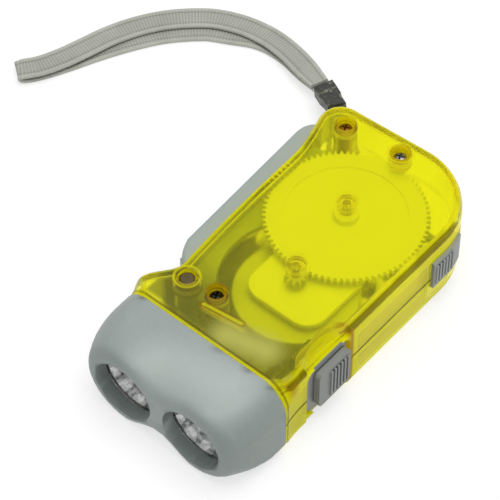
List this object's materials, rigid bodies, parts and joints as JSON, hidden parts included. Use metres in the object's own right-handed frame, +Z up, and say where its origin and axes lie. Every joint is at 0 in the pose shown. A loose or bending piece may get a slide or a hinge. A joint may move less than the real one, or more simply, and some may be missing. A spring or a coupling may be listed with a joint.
{
  "type": "dynamo flashlight",
  "caption": "Hand-squeeze dynamo flashlight with a twin-lens head, translucent shell, geared flywheel, sliding switch, lever lock and wrist strap",
  "frame": {"origin": "on the flat underside of the lower shell, at the middle of the housing's length and on the line between the lenses", "axes": "+Y runs from the lenses to the tail, +X points to the switch side, away from the squeeze lever, +Z is up, out of the upper shell"},
  "size_m": [0.1413, 0.1248, 0.025],
  "materials": {
    "shell_upper": "translucent yellow, moulded",
    "shell_lower": "translucent yellow, moulded",
    "head": "greenish grey, fine texture",
    "lens_left": "clear",
    "lens_right": "clear",
    "reflector_left": "metallised",
    "reflector_right": "metallised",
    "led_left": "clear epoxy",
    "led_right": "clear epoxy",
    "led_board": "green board",
    "lever": "greenish grey",
    "pivot_pin": "turned",
    "spring": "wire",
    "main_gear": "natural white",
    "drive_pinion": "natural white",
    "pawl_a": "natural",
    "pawl_b": "natural",
    "gear_shaft": "ground",
    "rotor": "natural white",
    "magnet": "sintered ferrite",
    "flywheel_shaft": "ground",
    "stator_lower": "pressed plate",
    "stator_upper": "pressed plate",
    "bobbin": "natural",
    "winding": "enamelled wire",
    "bridge": "white",
    "bridge_screw_a": "zinc",
    "bridge_screw_b": "zinc",
    "circuit_board": "dark board",
    "cell_1": "nickel",
    "cell_2": "nickel",
    "cell_3": "nickel",
    "cell_holder": "black",
    "wire_red": "insulated",
    "wire_black": "insulated",
    "switch_frame": "grey",
    "switch_slider": "grey",
    "switch_contacts": "black",
    "lock_slider": "grey",
    "screw_front": "zinc",
    "screw_lobe": "zinc",
    "screw_tail": "zinc",
    "strap": "flat woven nylon",
    "crimp": "dark",
    "anchor_cord": "twisted cord"
  },
  "bodies": {
    "housing": {"upper_shell": "shell_upper", "lower_shell": "shell_lower", "head": "head", "lens_left": "lens_left", "lens_right": "lens_right", "reflector_left": "reflector_left", "reflector_right": "reflector_right", "led_left": "led_left", "led_right": "led_right", "led_board": "led_board", "lever_pivot_pin": "pivot_pin", "lever_spring": "spring", "gear_shaft": "gear_shaft", "flywheel_shaft": "flywheel_shaft", "stator_lower": "stator_lower", "stator_upper": "stator_upper", "coil_bobbin": "bobbin", "coil_winding": "winding", "generator_bridge": "bridge", "bridge_screw_a": "bridge_screw_a", "bridge_screw_b": "bridge_screw_b", "circuit_board": "circuit_board", "button_cell_1": "cell_1", "button_cell_2": "cell_2", "button_cell_3": "cell_3", "cell_holder": "cell_holder", "lead_wire_red": "wire_red", "lead_wire_black": "wire_black", "switch_frame": "switch_frame", "switch_contacts": "switch_contacts", "screw_front": "screw_front", "screw_lobe": "screw_lobe", "screw_tail": "screw_tail", "wrist_strap": "strap", "strap_crimp": "crimp", "strap_anchor": "anchor_cord"},
    "lever": {"squeeze_lever": "lever"},
    "drive_pinion": {"drive_pinion": "drive_pinion"},
    "main_gear": {"main_gear": "main_gear", "clutch_pawl_a": "pawl_a", "clutch_pawl_b": "pawl_b"},
    "flywheel": {"flywheel_rotor": "rotor", "magnet_ring": "magnet"},
    "switch": {"switch_slider": "switch_slider"},
    "lock": {"lock_slider": "lock_slider"}
  },
  "joints": [
    {"name": "lever_swing", "type": "hinge", "parent": "housing", "child": "lever", "pos_m": [-0.0163, -0.0219, 0.0125], "axis": [0, 0, 1], "range_deg": [0, 18]},
    {"name": "drive_pinion_spin", "type": "hinge", "parent": "housing", "child": "drive_pinion", "pos_m": [-0.00145, 0.02375, 0.012], "axis": [0, 0, 1], "range_deg": [0, 210]},
    {"name": "main_gear_spin", "type": "hinge", "parent": "housing", "child": "main_gear", "pos_m": [-0.00145, 0.02375, 0.017], "axis": [0, 0, 1], "continuous": true},
    {"name": "flywheel_spin", "type": "hinge", "parent": "housing", "child": "flywheel", "pos_m": [0.0015, -0.00022, 0.012], "axis": [0, 0, 1], "continuous": true},
    {"name": "switch_slide", "type": "slide", "parent": "housing", "child": "switch", "axis": [0, -1, 0], "range_m": [0, 0.002]},
    {"name": "lock_slide", "type": "slide", "parent": "housing", "child": "lock", "axis": [0, 1, 0], "range_m": [0, 0.003]}
  ],
  "couplings": [
    {"joint": "drive_pinion_spin", "follows": "lever_swing", "ratio": 11.667},
    {"joint": "flywheel_spin", "follows": "main_gear_spin", "ratio": -8.2}
  ]
}
